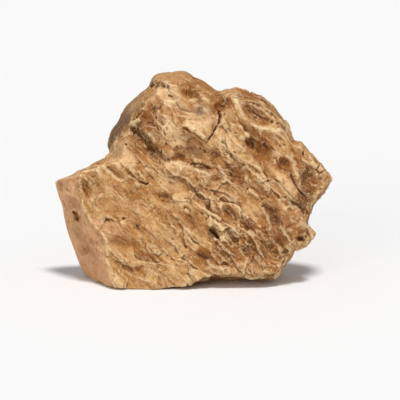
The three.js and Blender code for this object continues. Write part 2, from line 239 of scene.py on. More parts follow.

# Drawn features of the broad face, in millimetres across and up.

# Hollows: across, up, half width, half height, turn in degrees, depth, share that is flat floor.
HOLLOWS = [
    (2, 180.5, 10, 6.5, -38, 3.6, 0.3),
    (-4, 186, 13, 8, -38, 2.6, 0.2),
    (-31, 188, 9, 4, -14, 3.2, 0.1),
    (-11, 184, 5, 9, 15, 1.8, 0.2),
    (28, 176, 12, 9, -10, 4.2, 0.2),
    (24, 167, 7, 5, 10, 3.2, 0.2),
    (31, 170, 9, 8, -20, 2.2, 0.2),
    (63, 162, 16, 8, -32, 1.8, 0.5),
    (57, 147, 14, 4.5, -40, 2.2, 0.1),
    (62, 131, 12, 7, -12, 2.6, 0.6),
    (72, 118, 17, 10, -42, 2.4, 0.2),
    (-49, 137, 18, 7, -48, 2.6, 0.2),
    (-31, 117, 7, 4, -20, 1.8, 0.3),
    (2, 123, 24, 9, -6, 3.7, 0.32),
    (10, 108, 10, 3.6, -10, 4.0, 0.1),
    (-16, 117, 14, 3.6, 3, 2.0, 0.2),
    (-73, 103, 13, 5, -34, 0.9, 0.1),
    (-115, 60, 6.5, 3.8, -52, 5.0, 0.6),
    (-115.5, 57, 4.0, 2.4, 10, 2.6, 0.6),
    (-109, 25, 6, 4.5, 0, 1.4, 0.5),
    (-73, 36, 13, 6, -20, 1.2, 0.2),
    (-28, 79, 8, 4, -10, 2.0, 0.3),
    (6, 86, 4, 3, -20, 2.0, 0.2),
    (36, 63, 10, 5, -58, 2.4, 0.4),
    (56, 50, 9, 5, -35, 1.8, 0.3),
    (39, 37, 3.5, 9, -22, 1.8, 0.2),
    (12, 19, 10, 4, -42, 3.2, 0.1),
    (21, 43, 8, 3.4, -52, 2.6, 0.1),
    (90, 111.5, 9, 7, -40, 3.2, 0.1),
    (77, 66, 8, 4.5, -40, 2.4, 0.2),
    (80, 55, 6, 7, -20, 2.2, 0.4),
    (86, 34, 6, 9, -25, 2.2, 0.4),
    (77, 31, 8, 5, -35, 2.6, 0.3),
    (110, 45, 5.5, 2.6, 0, 5.0, 0.1),
    (106, 37, 4.5, 3.5, 0, 9.0, 0.1),
    (111, 97, 6, 13, -8, 1.4, 0.5),
    (-43, 100, 4, 3, -40, 1.5, 0.2),
    (43, 101, 11, 12, -30, 1.6, 0.5),
]

# Small holes: across, up, half width, half height, turn in degrees, depth. Clay has run back into them,
# so that this share of the depth is left.
HOLE_SHARE = 0.75
HOLES = [
    (-38, 167, 1.3, 2.4, 5, 4), (-30, 150, 1.4, 1.6, 10, 3), (-44, 152.5, 2.0, 2.0, 0, 2),
    (-55.5, 157, 1.2, 1.2, 0, 2.5), (-31, 144, 1.5, 1.5, 0, 2.5), (-31.5, 123, 1.0, 2.2, 10, 3),
    (-66.5, 131.5, 2.0, 1.2, -50, 3.5), (-22, 179, 4.6, 2.4, -35, 1.2), (-22, 178, 2.4, 1.3, -30, 3.4),
    (2, 192, 2.4, 1.8, -20, 3), (18.5, 174, 3.2, 2.0, -15, 2), (57.5, 177, 1.3, 1.3, 0, 3),
    (60.5, 172, 1.4, 1.6, -40, 3), (77, 160, 2.2, 2.4, 0, 3.5), (78.5, 153, 1.6, 1.6, 0, 3),
    (83.5, 151.5, 1.6, 1.6, 0, 3), (84, 155, 1.2, 1.4, 0, 2.5), (42, 142, 1.2, 1.2, 0, 2.5),
    (29, 148, 2.6, 3.0, 0, 1.8), (30.5, 160, 0.9, 2.0, 0, 2.5), (1.5, 143.5, 1.2, 1.2, 0, 2.5),
    (-7.5, 147, 2.4, 1.0, -15, 2.5), (29.5, 132, 1.2, 1.4, 0, 2.5), (41, 123, 2.2, 1.2, -20, 2.5),
    (32, 123, 1.2, 1.2, 0, 2.5), (7, 127, 1.3, 1.3, 0, 2.5), (12, 124.5, 2.0, 1.0, -40, 2.5),
    (15, 107, 1.6, 1.4, 0, 3), (-69, 57.5, 2.2, 1.8, -20, 4), (-55, 50, 1.3, 2.4, 35, 4),
    (-112.5, 57, 2.2, 2.6, 35, 2), (-47, 109, 3.0, 1.2, -10, 2.5), (-54, 101, 1.8, 1.2, -30, 2.5),
    (-53, 97.5, 1.4, 1.0, -30, 2), (-32, 93, 1.2, 1.0, 0, 2.5), (-30, 75.5, 1.4, 1.2, 0, 2.5),
    (-8, 68, 1.4, 1.6, 0, 3), (5, 85, 2.0, 1.4, -20, 2.5), (15, 83, 1.8, 1.2, -20, 2.5),
    (18, 85, 1.2, 1.0, -20, 2.5), (9, 63, 2.0, 1.2, -40, 3), (43, 98.5, 1.4, 1.0, 0, 2.5),
    (47, 91.5, 1.4, 1.0, 0, 2.5), (68, 76.5, 1.4, 1.2, 0, 3), (91.5, 79, 1.2, 1.0, 0, 2.5),
    (23.5, 32.5, 1.6, 3.0, -20, 4), (111, 40, 1.4, 1.4, 0, 3), (108.5, 122.5, 1.0, 3.0, 5, 3),
    (-64, 172, 1.0, 1.4, 0, 1.5), (70, 70, 3.0, 2.4, -20, 3),
]

# Grooves: width, depth and the line they follow.
GROOVES = [
    (6.0, 4.4, [(-44, 187), (-38, 192), (-31, 191), (-26, 187.5), (-22, 182)]),
    (2.6, 2.4, [(54, 140), (52.5, 135), (55, 129), (60, 125)]),
    (4.6, 8.0, [(16.5, 48.5), (19.5, 45), (23, 41), (26.5, 36)]),
    (2.6, 3.0, [(5, 110.5), (10, 110.5), (16, 108), (19, 105)]),
    (4.2, 5.5, [(24.5, 165), (27, 159), (27, 156), (25, 150)]),
    (1.9, 5.0, [(24, 166), (26.5, 159), (25.5, 153), (23.5, 148.5), (19.5, 141.5), (16, 136.5), (13, 132)]),
    (2.8, 1.0, [(-16, 158), (-11, 153), (-6, 150)]),
    (2.4, 2.6, [(-9, 146.5), (-4, 144.5), (1, 142), (8, 136.5), (15, 132.5)]),
    (2.3, 1.1, [(38, 173), (42, 163), (45, 156), (47, 152)]),
    (2.1, 1.1, [(88, 142), (93, 139), (98, 134)]),
    (2.1, 1.0, [(86, 148), (92, 145), (96, 142)]),
    (1.6, 0.9, [(42, 120), (48, 122), (54, 122)]),
    (2.5, 1.4, [(85, 129), (88, 130), (92, 130)]),
    (1.8, 1.1, [(-67, 145), (-62, 137), (-56, 130), (-48, 123)]),
    (1.6, 0.9, [(-63, 143), (-57, 135), (-50, 128), (-45, 124)]),
    (2.3, 1.2, [(-57, 124), (-54, 122), (-51, 121)]),
    (7.0, 2.6, [(-64, 151), (-57, 145), (-50, 139), (-43, 131), (-36, 120)]),
    (2.0, 3.2, [(-3, 111), (2, 112), (7, 112)]),
    (1.8, 0.9, [(-9, 114), (-4, 117), (4, 118), (12, 116)]),
    (3.2, 1.5, [(-112, 95), (-109, 91), (-107, 86), (-104, 80), (-101, 77)]),
    (2.1, 1.1, [(-103, 78), (-100, 72), (-98, 68), (-95, 64)]),
    (2.1, 1.0, [(-97, 75), (-94, 80), (-91, 84), (-87, 84)]),
    (1.8, 1.1, [(-79, 90), (-76, 86), (-72, 82), (-66, 77)]),
    (1.6, 0.9, [(-80, 62), (-76, 58), (-73, 56)]),
    (1.6, 1.0, [(-54, 49), (-50, 45), (-46, 42)]),
    (1.6, 1.1, [(-46, 84), (-44, 81), (-41, 79)]),
    (1.6, 1.1, [(-53, 78), (-50, 76), (-46, 75)]),
    (1.6, 1.1, [(-51, 72), (-48, 70), (-44, 69)]),
    (1.8, 1.1, [(-43, 69), (-38, 67), (-34, 66)]),
    (1.8, 1.2, [(-34, 63), (-31, 60), (-30, 56)]),
    (2.1, 1.1, [(-27, 64), (-23, 64), (-19, 63)]),
    (1.6, 1.0, [(-91, 46), (-82, 42), (-72, 39), (-64, 34)]),
    (1.8, 1.2, [(22, 108), (24, 105), (27, 101)]),
    (1.8, 1.1, [(8, 99), (10, 96), (12, 94)]),
    (2.1, 1.3, [(20, 76), (22, 73), (25, 70)]),
    (2.3, 1.4, [(32, 90), (34, 86), (37, 82)]),
    (2.8, 1.5, [(53, 88), (56, 86), (59, 84)]),
    (2.2, 1.8, [(78, 119), (82, 116), (84, 111), (87, 107), (93, 105), (97, 103)]),
    (3.0, 3.4, [(96, 105), (97, 99), (101, 92), (104, 86), (108, 82), (111, 79)]),
    (2.1, 1.3, [(96, 132), (98, 127), (100, 123), (102, 121)]),
    (2.3, 1.3, [(101, 119), (103, 115), (106, 112)]),
    (1.8, 1.1, [(109.5, 126), (109.5, 123), (108, 119)]),
    (1.6, 3.6, [(125.5, 113), (124, 109), (121.5, 105)]),
    (1.6, 3.6, [(131, 107), (128, 104), (124.5, 102)]),
    (2.1, 1.1, [(113, 95), (116, 90), (119, 87), (125, 86.5), (131, 88)]),
    (3.2, 2.2, [(94, 79), (98, 74), (103, 71), (107, 67), (109, 61)]),
    (2.2, 1.6, [(76, 100), (84, 94), (91, 86), (98, 79), (103, 74)]),
    (2.2, 1.6, [(-6, 188), (-6.5, 182), (-5.5, 176)]),
    (1.8, 1.3, [(110, 74), (111, 72), (113, 70)]),
    (2.1, 1.4, [(85, 51), (89, 45), (93, 38), (97, 32), (100, 29)]),
    (1.8, 1.1, [(27, 50), (31, 43), (34, 36)]),
    (2.1, 1.2, [(66, 62), (72, 56), (77, 48), (80, 42)]),
    (1.8, 1.1, [(45, 56), (51, 52), (58, 46), (66, 40)]),
    (2.3, 1.3, [(98, 58), (104, 54), (108, 52)]),
    (1.8, 1.1, [(60, 104), (68, 98), (76, 92), (82, 87)]),
    (1.8, 1.1, [(62, 88), (69, 82), (76, 78)]),
]

# Raised crests: width, height and the line they follow.
CRESTS = [
    (3.6, 1.8, [(37, 183), (41, 178), (45, 172), (48, 165), (50, 160), (54, 152)]),
    (3.0, 1.4, [(54, 152), (60, 150), (68, 148.5), (75, 147), (85, 145), (95, 140)]),
    (2.6, 1.8, [(44, 149), (49, 145), (53, 141), (58, 138)]),
    (2.2, 1.4, [(88, 144), (93, 140), (97, 136)]),
    (3.0, 1.6, [(-9, 150), (-5, 149), (1, 146), (5, 142), (10, 139), (16, 136)]),
    (2.4, 1.4, [(27, 159), (27.5, 154), (25, 147), (22, 141)]),
    (3.0, 1.6, [(-5, 175), (0, 176), (6, 173)]),
    (2.4, 1.2, [(-29, 190), (-25, 185), (-20, 181), (-14, 176)]),
    (2.4, 1.2, [(-36, 184), (-33, 180), (-30, 175), (-26, 170)]),
    (1.8, 1.4, [
        (-30, 181), (-27, 185), (-21, 184), (-16, 179), (-14, 174), (-18, 172), (-24, 174), (-29, 179)]),
    (2.0, 1.4, [(-119, 65), (-117, 67), (-114, 68)]),
    (2.4, 1.6, [(-109, 80), (-109, 74), (-107.5, 67), (-105, 62)]),
    (2.4, 1.6, [(-104, 60), (-101, 56), (-98, 52)]),
    (2.0, 1.2, [(-95, 75), (-94, 79), (-91, 82), (-87, 82)]),
    (2.2, 1.4, [(-98, 50), (-92, 47), (-88, 41), (-85, 35), (-84, 28)]),
    (2.0, 1.4, [(-116, 96), (-112, 95), (-109, 94)]),
    (2.6, 1.4, [(-90, 113), (-86, 106), (-80, 101), (-72, 97), (-64, 94)]),
    (3.0, 2.4, [(-31, 112), (-25, 113), (-20, 113), (-13, 113), (-8, 111), (-3, 109), (0, 107.5)]),
    (3.0, 2.4, [(0, 107.5), (5, 105.5), (10, 104), (16, 101.5), (21, 100)]),
    (2.2, 1.8, [(21, 113), (24, 109), (27, 105), (33, 97), (38, 90)]),
    (2.8, 1.8, [(52, 114), (54, 109), (58, 104), (62, 101), (68, 97), (75, 91), (81, 87)]),
    (2.2, 1.8, [(53, 87), (58, 82), (63, 78)]),
    (3.2, 2.0, [(-6, 80), (-2, 77), (2, 73), (7, 69), (12, 66), (16, 62), (20, 58)]),
    (3.0, 2.0, [(20, 58), (25, 52), (30, 46), (33, 38), (34, 33)]),
    (1.4, 1.8, [(31, 71), (35, 64), (40, 57)]),
    (3.2, 3.0, [(35, 51), (38, 46), (42, 42), (47, 41), (51, 42), (55, 45.5), (59, 42), (66, 38)]),
    (2.4, 1.8, [(50, 31), (54, 32), (58, 30)]),
    (2.2, 1.8, [(43, 66), (50, 62), (56, 57), (63, 53), (68, 46)]),
    (2.4, 1.8, [(68, 73), (70, 66), (74, 58), (76, 50), (79, 42)]),
    (2.0, 2.0, [(86, 52), (89, 47), (92, 41), (96, 34), (100, 30)]),
    (2.2, 1.8, [(78, 38), (82, 32), (86, 25), (90, 18)]),
    (2.0, 1.6, [(80, 76), (88, 77), (92, 75)]),
    (2.6, 1.6, [(107, 118), (110, 115), (114, 113), (119, 111)]),
    (2.2, 1.6, [(121, 104), (124, 102), (128, 97), (131, 93)]),
    (2.0, 1.4, [(113, 96), (117, 90), (121, 89)]),
    (2.0, 1.2, [(66, 100), (73, 96), (82, 93), (90, 88)]),
    (1.8, 1.2, [(58, 97), (64, 95), (71, 90), (77, 84)]),
    (2.4, 1.2, [(12, 18), (18, 12), (26, 9), (36, 10)]),
    (2.6, 1.8, [(101, 50), (107, 52), (114, 51), (120, 46)]),
    (4.0, 1.8, [(95, 121), (99, 113), (101.5, 105), (104, 96)]),
    (1.6, 1.4, [(-119, 66), (-115, 66), (-111, 62)]),
    (1.6, 1.8, [(54, 87), (59, 82), (66, 76)]),
]

# Broad steps: height, run above, run below and the line of the lip, which is written from left to right.
STEPS = [
    (6.5, 1.6, 22, [(-33, 110), (-20, 112.5), (-8, 111.5), (0, 107.5), (8, 104), (19, 100), (24, 96)]),
    (3.8, 24, 1.5, [(-13, 150), (-4, 146.5), (3, 142.5), (9, 138.5), (16, 134)]),
    (2.6, 1.5, 12, [(36, 150), (44, 150), (52, 142), (60, 138)]),
    (2.2, 1.5, 10, [(-88, 122), (-74, 110), (-62, 100), (-50, 90)]),
    (2.2, 1.5, 10, [(-22, 82), (-8, 76), (4, 68), (14, 60)]),
    (2.6, 1.5, 10, [(52, 112), (60, 100), (72, 92), (82, 84)]),
    (2.2, 1.2, 9, [(40, 72), (52, 62), (64, 52), (72, 40)]),
    (2.8, 10, 1.3, [(67, 43), (75, 35), (81, 27), (88, 18)]),
    (2.4, 9, 1.3, [(84, 50), (90, 42), (96, 35), (102, 28)]),
    (2.6, 9, 1.3, [(45, 34), (54, 26), (62, 17), (68, 9)]),
    (2.2, 9, 1.3, [(20, 34), (30, 26), (40, 17), (46, 9)]),
]

# Pebbles standing proud: across, up, half width, half height, turn in degrees, height.
PEBBLES = [
    (36.5, 104, 3.0, 3.2, 0, 1.6),
    (108, 126, 2.0, 2.4, 0, 1.4),
    (117, 97, 5.0, 4.0, -30, 1.6),
    (-93, 79, 5.0, 4.0, 0, 1.2),
    (-111, 95, 3.0, 2.4, -30, 1.6),
    (12, 165, 5.5, 4.5, -20, 1.0),
    (-16, 80, 6.0, 5.0, 0, 1.2),
    (21, 91, 4.0, 4.0, 0, 0.8),
    (-95, 91, 12, 7, -52, 0.6),
    (101, 60, 6, 9, -30, 1.8),
]

# Stains of the face: across, up, half width, half height, turn in degrees, strength. The umber ones lie
# mostly in the hollows, holes and the valley at the upper left, and are partly a real umber stain and
# partly painted shade.
STAINS_AND_SHADE = {
    "umber_and_shade": [
        (-75, 146, 14, 5, 62, 0.3), (-57, 147, 9, 6, -48, 0.9), (-49, 138, 13, 7, -48, 1.0),
        (-40, 126, 11, 6, -48, 0.95), (-32, 189, 10, 4, -14, 0.8), (2, 180, 9, 5.5, -38, 0.45),
        (9, 109, 10, 4, -10, 0.7), (-14, 118, 12, 2.5, 3, 0.35), (20, 120, 5, 7, -20, 0.8),
        (27, 177, 8, 4, -15, 0.15), (58, 145, 14, 4.5, -40, 0.4), (61, 132, 12, 7, -12, 0.3),
        (39, 110, 8, 4, -20, 0.35), (-107, 88, 3, 11, 25, 0.35), (-113.5, 58.5, 3.5, 3, 50, 0.5),
        (-28, 79, 9, 4, -10, 0.5), (-54, 49, 3, 4, -30, 0.35), (35, 62, 8, 5, -55, 0.3),
        (39, 37, 5, 10, -15, 0.4), (12, 19, 10, 4, -42, 0.25), (21, 43, 9, 3.2, -52, 1.0),
        (30, 25, 15, 8, -30, 0.55), (62, 24, 15, 8, -25, 0.55), (84, 40, 8, 14, -30, 0.4),
        (77, 66, 9, 5, -40, 0.6), (80, 57, 6, 8, 20, 0.3), (77, 29, 9, 6, -35, 0.55),
        (110, 45, 6, 3, 0, 0.8), (106, 37, 6, 4, 0, 1.0), (88, 114, 7, 5, -40, 0.4),
        (110.5, 99, 5.5, 13, -8, 0.75), (113, 80, 11, 15, -25, 0.85),
    ],
    "rust": [
        (-31, 117, 8, 6, -20, 0.7), (-45, 154, 18, 14, -35, 1.0), (-57, 131, 16, 9, -50, 0.8),
        (-36, 163, 12, 15, 0, 0.8), (-1, 183, 16, 9, -38, 0.85), (2, 122, 24, 12, -5, 0.3),
        (28, 175, 13, 11, -10, 0.8), (24, 166, 8, 6, 0, 0.85), (63, 161, 18, 9, -32, 0.6),
        (67, 125, 20, 13, -30, 0.95), (43, 101, 15, 16, -20, 1.0), (-114.5, 60, 6, 5, -52, 0.8),
        (-109, 26, 7, 6, 0, 0.35), (-73, 35, 14, 6, -15, 0.3), (-30, 62, 12, 6, 0, 0.4),
        (56, 49, 10, 6, -35, 0.9), (35, 62, 9, 6, -55, 0.6), (60, 30, 34, 19, -10, 1.0),
        (84, 50, 25, 23, 20, 0.9), (20, 18, 30, 12, 0, 0.7), (86, 33, 9, 12, -25, 0.8),
        (90, 111, 10, 8, -40, 1.0), (104, 109, 12, 14, -20, 0.6), (112, 98, 9, 15, -8, 0.9),
        (112, 82, 11, 15, -25, 1.0), (70, 84, 18, 10, -30, 0.4), (128, 99, 9, 12, 0, 0.6),
        (-20, 200, 22, 8, 0, 0.3), (62, 177, 26, 9, -25, 1.0), (86, 158, 18, 9, -55, 0.75),
        (12, 191, 16, 6, -30, 0.6),
    ],
    "grey_and_shade": [
        (9, 165.5, 8.5, 6.5, -20, 0.65), (80, 57, 6.5, 9, 20, 0.9), (110.5, 98, 6.5, 14, -8, 0.6),
        (113, 81, 8, 10, -25, 0.5), (101, 71, 10, 4, -42, 0.75),
    ],
    "cream": [
        (2, 124, 20, 9, -5, 0.45), (-24, 178, 15, 8, -35, 1.0), (-22, 146, 7, 20, 25, 0.8),
        (5, 154, 16, 13, -40, 0.75), (44, 172, 4, 12, 22, 0.9), (76, 147, 20, 4.5, -10, 0.45),
        (36, 134, 17, 16, 0, 0.35), (-70, 119, 15, 13, -30, 0.85), (-12, 110, 18, 4, -5, 0.8),
        (10, 102, 10, 3.5, -20, 0.7), (-24, 99, 18, 12, -30, 0.4), (-12, 78, 9, 8, 0, 0.7),
        (55, 64, 12, 8, -30, 0.5), (131, 104, 5, 8, -30, 0.3), (93, 91, 8, 20, 30, 0.7),
        (88, 147, 6, 14, 35, 0.25),
    ],
    "pink": [
        (-20, 199, 20, 8, 0, 0.45), (-125, 96, 14, 5, 10, 0.6), (-70, 119, 18, 15, -30, 0.7),
        (-24, 176, 20, 16, -30, 0.5), (64, 168, 28, 14, -30, 0.3), (-86, 45, 26, 16, -20, 0.6),
        (8, 155, 20, 14, -25, 0.5), (87, 65, 6, 7, -40, 0.8), (101, 60, 7, 10, -30, 0.9),
    ],
}

# Flat breaks at the left, where the face turns away: how steeply each falls back, in degrees, and the
# line of its edge, from the bottom up.
BREAKS = [
    (50, [(-80, 8), (-84, 28), (-88, 40), (-99, 52), (-108, 64), (-110, 78), (-113, 90), (-118, 106)]),
    (54, [(-90, 116), (-75, 137), (-66, 150), (-57, 158), (-51, 167), (-45, 180), (-42, 190), (-35, 201)]),
]

# The edges of these breaks are worn round.
EDGE_ROUNDING = 2.5

# Where the outline of the peak stands out further: across, up, reach, and how far it goes across and up.
PEAK_SHIFTS = [
    (-38, 199, 14, -2.0, 2.4),
    (-23, 204, 12, 0.0, 1.6),
    (-8, 203, 11, 1.0, 1.8),
    (-66, 166, 18, -2.2, 1.0),
    (-81, 146, 15, -2.0, 0.8),
]

# How rough the face is, 0 smooth to 1.4 crumbling: across, up, half width, half height, turn in degrees,
# roughness.
ROUGHNESS = [
    (-62, 82, 42, 32, -30, 0.28), (-76, 40, 26, 14, -25, 0.2), (-48, 136, 18, 8, -48, 0.4),
    (-70, 119, 16, 14, -30, 0.25), (0, 124, 26, 12, -5, 0.4), (-46, 150, 20, 12, -35, 1.1),
    (-25, 172, 20, 16, -30, 0.45), (6, 154, 17, 13, -25, 0.6), (64, 162, 17, 11, -32, 0.8),
    (80, 165, 12, 22, 35, 1.1), (36, 133, 20, 18, 0, 0.95), (43, 101, 15, 16, -20, 1.2),
    (67, 95, 16, 10, -35, 1.1), (42, 22, 34, 16, -20, 1.3), (-44, 60, 20, 14, -40, 0.55),
    (-50, 102, 14, 12, -45, 1.0), (20, 66, 20, 16, -45, 1.0), (60, 45, 20, 16, -40, 0.9),
    (-106, 36, 20, 30, 20, 0.22), (-20, 200, 21, 9, 0, 0.25), (-4, 183, 12, 10, -20, 0.15),
    (74, 116, 18, 11, -42, 0.25), (61, 131, 12, 7, -12, 0.8), (91, 111, 11, 8, -30, 0.15),
    (113, 84, 11, 16, -25, 0.15), (86, 34, 8, 11, -25, 0.25), (93, 90, 9, 20, 30, 0.15),
    (107, 108, 10, 13, -20, 0.15), (77, 102, 10, 8, -30, 0.25), (36, 63, 8, 9, 20, 0.15),
    (101, 60, 7, 10, -30, 0.12), (87, 65, 6, 7, -40, 0.2), (110, 44, 13, 10, 0, 0.3),
    (-106, 60, 14, 14, 0, 0.15), (9, 165, 8, 6, -20, 0.3), (-27, 125, 9, 7, -30, 0.3),
    (27, 175, 11, 9, 0, 0.4), (80, 56, 7, 9, -20, 0.3), (56, 49, 8, 5, -25, 0.3),
]

# How rough the rest of the stone is, and how rough its two old planes are.
MIDDLING_ROUGHNESS = 0.6
OLD_PLANE_ROUGHNESS = 0.22

# Shards: size, how far they stand in or out, how far they tilt.
PLATES = (19, 2.0, 5.0)
FLAKES = (9, 0.9, 1.8)
CHIPS = (4.6, 0.4, 0.7)

# A few of the chips have a pit.
PITTED_SHARE = 0.02
PIT_DEPTH = 1.6

# Scoops, ridges, blades and folds: size, and depth or height.
GREAT_SCOOPS = (13, 1.8)
SMALL_SCOOPS = (6.5, 0.5)
GREAT_FINS = (9, 1.4)
SMALL_FINS = (4.2, 0.4)
BLADES = (13, 3.0)
FOLDS = (13, 1.3)

# How many times longer than wide the fibres are.
FIBRE_STRETCH = 5.0

# What the weathering takes off everywhere, and how far a crumb may stand out.
WORN_AWAY = 0.2
CRUMB_HEIGHT = 0.7


# Carving tools. Places are across and up on the face, and a depth is how far it goes in there.

def oval(across, up, place):
    """Distance from the middle of an oval, which is 1 on its rim."""
    middle_across, middle_up, half_width, half_height, turn = place
    side = across - middle_across
    rise = up - middle_up
    angle = math.radians(turn)
    along = side * math.cos(angle) + rise * math.sin(angle)
    over = rise * math.cos(angle) - side * math.sin(angle)
    return np.hypot(along / half_width, over / half_height)


def line_distance(across, up, line):
    """Distance to a line, how far above it on its left a place is, and how far along it, 0 to 1."""
    nearest = np.full(len(across), np.inf)
    side = np.zeros(len(across))
    share = np.zeros(len(across))
    corners = np.array(line, float)
    steps = corners[1:] - corners[:-1]
    lengths = np.hypot(*steps.T)
    walked = 0
    for start, step, length in zip(corners, steps, lengths):
        run = across - start[0]
        rise = up - start[1]
        t = np.clip((run * step[0] + rise * step[1]) / length ** 2, 0, 1)
        distance = np.hypot(run - t * step[0], rise - t * step[1])
        closer = distance < nearest
        nearest[closer] = distance[closer]
        side[closer] = (rise * step[0] - run * step[1])[closer] / length
        share[closer] = ((walked + t * length) / lengths.sum())[closer]
        walked += length
    return nearest, side, share


def near_line(across, up, line, reach):
    """Which places lie in the box of a line, grown by reach, and what line_distance says of them."""
    low = np.min(line, 0) - reach
    high = np.max(line, 0) + reach
    here = (across > low[0]) & (across < high[0]) & (up > low[1]) & (up < high[1])
    return here, *line_distance(across[here], up[here], line)


def end_fade(share, run=0.18):
    return smoothstep(0, run, share) * smoothstep(0, run, 1 - share)


def carve_hollow(across, up, place, depth, floor, uneven):
    """A weathered hollow with an uneven rim: it is deepest towards its upper side."""
    _, middle_up, _, half_height, _ = place
    bowl = 1 - smoothstep(floor, 1.0, oval(across, up, place) * uneven)
    return depth * bowl * (0.8 + 0.35 * np.clip((up - middle_up) / half_height, -1, 1))


def groove_depth(distance, share, width):
    """How deep a groove is, 0 to 1. It narrows to its ends and is shallow there."""
    reach = width / 2 * (0.35 + 0.65 * end_fade(share))
    return np.clip(1 - distance / reach, 0, 1) ** 0.8 * (0.3 + 0.7 * end_fade(share))


def step_height(side, share, run_above, run_below):
    """How proud clay stands, 0 to 1, along a lip from which it falls back over its two runs."""
    above = 1 - smoothstep(0, run_above, side)
    below = 1 - smoothstep(0, run_below, -side)
    return np.where(side > 0, above, below) * end_fade(share, 0.12)


def carve_forms(across, up, uneven):
    """The lips, hollows, crests and pebbles of the broad face."""
    depth = np.zeros(len(across))
    for height, run_above, run_below, line in STEPS:
        here, _, side, share = near_line(across, up, line, run_below + 2)
        depth[here] -= height * step_height(side, share, run_above, run_below)
    for *place, deep, floor in HOLLOWS:
        here = oval(across, up, place) < 2
        depth[here] += carve_hollow(across[here], up[here], place, deep, floor, uneven[here])
    for width, height, line in CRESTS:
        here, distance, _, share = near_line(across, up, line, width)
        depth[here] -= height * np.clip(1 - distance / width, 0, 1) ** 1.4 * end_fade(share)
    for *place, height in PEBBLES:
        depth -= height * (1 - smoothstep(0.5, 1.0, oval(across, up, place)))
    return depth


def carve_marks(across, up, uneven):
    """The cracks, grooves and small holes of the broad face."""
    depth = np.zeros(len(across))
    for width, deep, line in GROOVES:
        here, distance, _, share = near_line(across, up, line, width)
        depth[here] += deep * groove_depth(distance, share, width)
    for *place, deep in HOLES:
        distance = oval(across, up, place) * uneven
        depth += deep * HOLE_SHARE * (1 - smoothstep(0.2, 1.3, distance))
    return depth


def crest_tone(across, up):
    """Where the raised crests run, 0 to 1, for their pale colour, which is partly worn clay and partly
    painted highlight.
    """
    pale = np.zeros(len(across))
    for width, _, line in CRESTS:
        here, distance, _, share = near_line(across, up, line, width)
        crest = smoothstep(0, 0.7, 1 - distance / (0.8 * width)) * end_fade(share)
        pale[here] = np.maximum(pale[here], crest)
    return pale


def face_roughness(across, up):
    """How rough the broad face is from place to place."""
    rough = np.full(len(across), MIDDLING_ROUGHNESS)
    for *place, amount in ROUGHNESS:
        here = 1 - smoothstep(0.7, 1.15, oval(across, up, place))
        rough += (amount - rough) * here
    return rough


# Blender steps.

def select_only(piece):
    bpy.ops.object.select_all(action="DESELECT")
    piece.select_set(True)
    bpy.context.view_layer.objects.active = piece


def apply_modifier(piece, kind, **settings):
    select_only(piece)
    modifier = piece.modifiers.new(kind.title(), kind)
    for name, value in settings.items():
        setattr(modifier, name, value)
    bpy.ops.object.modifier_apply(modifier=modifier.name)


def remesh(piece, voxel):
    apply_modifier(piece, "REMESH", mode="VOXEL", voxel_size=voxel * MM)


def flatten_foot(stone, reach):
    """Sets everything within reach of the ground flat on it."""
    points = points_of(stone)
    points[points[:, 2] < reach, 2] = 0
    move_points(stone, points)


def push_in(stone, depth):
    """Moves the points straight back from the camera's side."""
    across, up, back = seen_from_front(points_of(stone))
    move_points(stone, from_front(across, up, back + depth))


def block_from_solid():
    """A merged copy of the CAD solid with its facets softened."""
    select_only(frame["nodes"][STONE_NODE])
    bpy.ops.object.duplicate()
    stone = bpy.context.object
    stone.name = "claystone_block"
    stone.parent = None
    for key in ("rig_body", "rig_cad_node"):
        del stone[key]
    stone.data.materials.clear()
    bpy.ops.object.mode_set(mode="EDIT")
    bpy.ops.mesh.select_all(action="SELECT")
    bpy.ops.mesh.remove_doubles(threshold=0.00001)
    bpy.ops.mesh.customdata_custom_splitnormals_clear()
    bpy.ops.object.mode_set(mode="OBJECT")
    apply_modifier(stone, "SUBSURF", levels=1, render_levels=1)
    remesh(stone, CARVING_VOXEL)
    return stone


# Carving of the main forms.

def square_peak(stone):
    """Moves the outline of the peak out, so that its top is flat and its corners stand out."""
    across, up, depth = seen_from_front(points_of(stone))
    shift = np.zeros((2, len(across)))
    for middle_across, middle_up, reach, run, rise in PEAK_SHIFTS:
        near = 1 - smoothstep(0.1, 1, np.hypot(across - middle_across, up - middle_up) / reach)
        shift += np.outer((run, rise), near)
    move_points(stone, from_front(across + shift[0], up + shift[1], depth))


def break_flat(stone, fall, line):
    """Splits the face off along a line, so that it falls back in one plane on the line's left."""
    points = points_of(stone)
    across, up, depth = seen_from_front(points)
    distance, side, share = line_distance(across, up, line)
    on_line = (distance < 4) & (share > 0) & (share < 1) & (facing_front(stone) > 0.5)
    edge_depth = np.polyval(np.polyfit(share[on_line], depth[on_line], 2), share)
    side += 3 * cloud(points, 22, 51.0) + 1.5 * cloud(points, 6, 55.0)
    rounded = np.hypot(np.maximum(side, 0), EDGE_ROUNDING) - EDGE_ROUNDING
    plane = edge_depth + rounded * math.tan(math.radians(fall))
    within = end_fade(share, 0.05) * smoothstep(-1, 1, side)
    push_in(stone, np.maximum(plane - depth, 0) * within * (depth < 0))


def bent_face(points, waves):
    """Across and up, bent a little, so that no form drawn on them is regular."""
    across, up, _ = seen_from_front(points)
    shift = bend(points, waves)
    return across + shift[:, 0], up + shift[:, 2]


def carve_stone(stone):
    """Cuts the main forms into the broad face, clear of the foot."""
    square_peak(stone)
    for fall, line in BREAKS:
        break_flat(stone, fall, line)
    points = points_of(stone)
    depth = carve_forms(*bent_face(points, FACE_BEND), 1 + 0.5 * cloud(points, 9, 57.0))
    push_in(stone, depth * facing_front(stone) * smoothstep(1, 7, points[:, 2]))


def mark_stone(stone):
    """Opens the cracks and small holes after the weathering, so that they stay crisp."""
    points = points_of(stone)
    _, chipped, _ = shards(points, 2.6, 53.0)
    depth = carve_marks(*bent_face(points, MARK_BEND), 0.65 + 0.7 * chipped)
    push_in(stone, depth * facing_front(stone) * smoothstep(1, 7, points[:, 2]))


# Weathering. Each relief says how far the surface stands out, in millimetres.

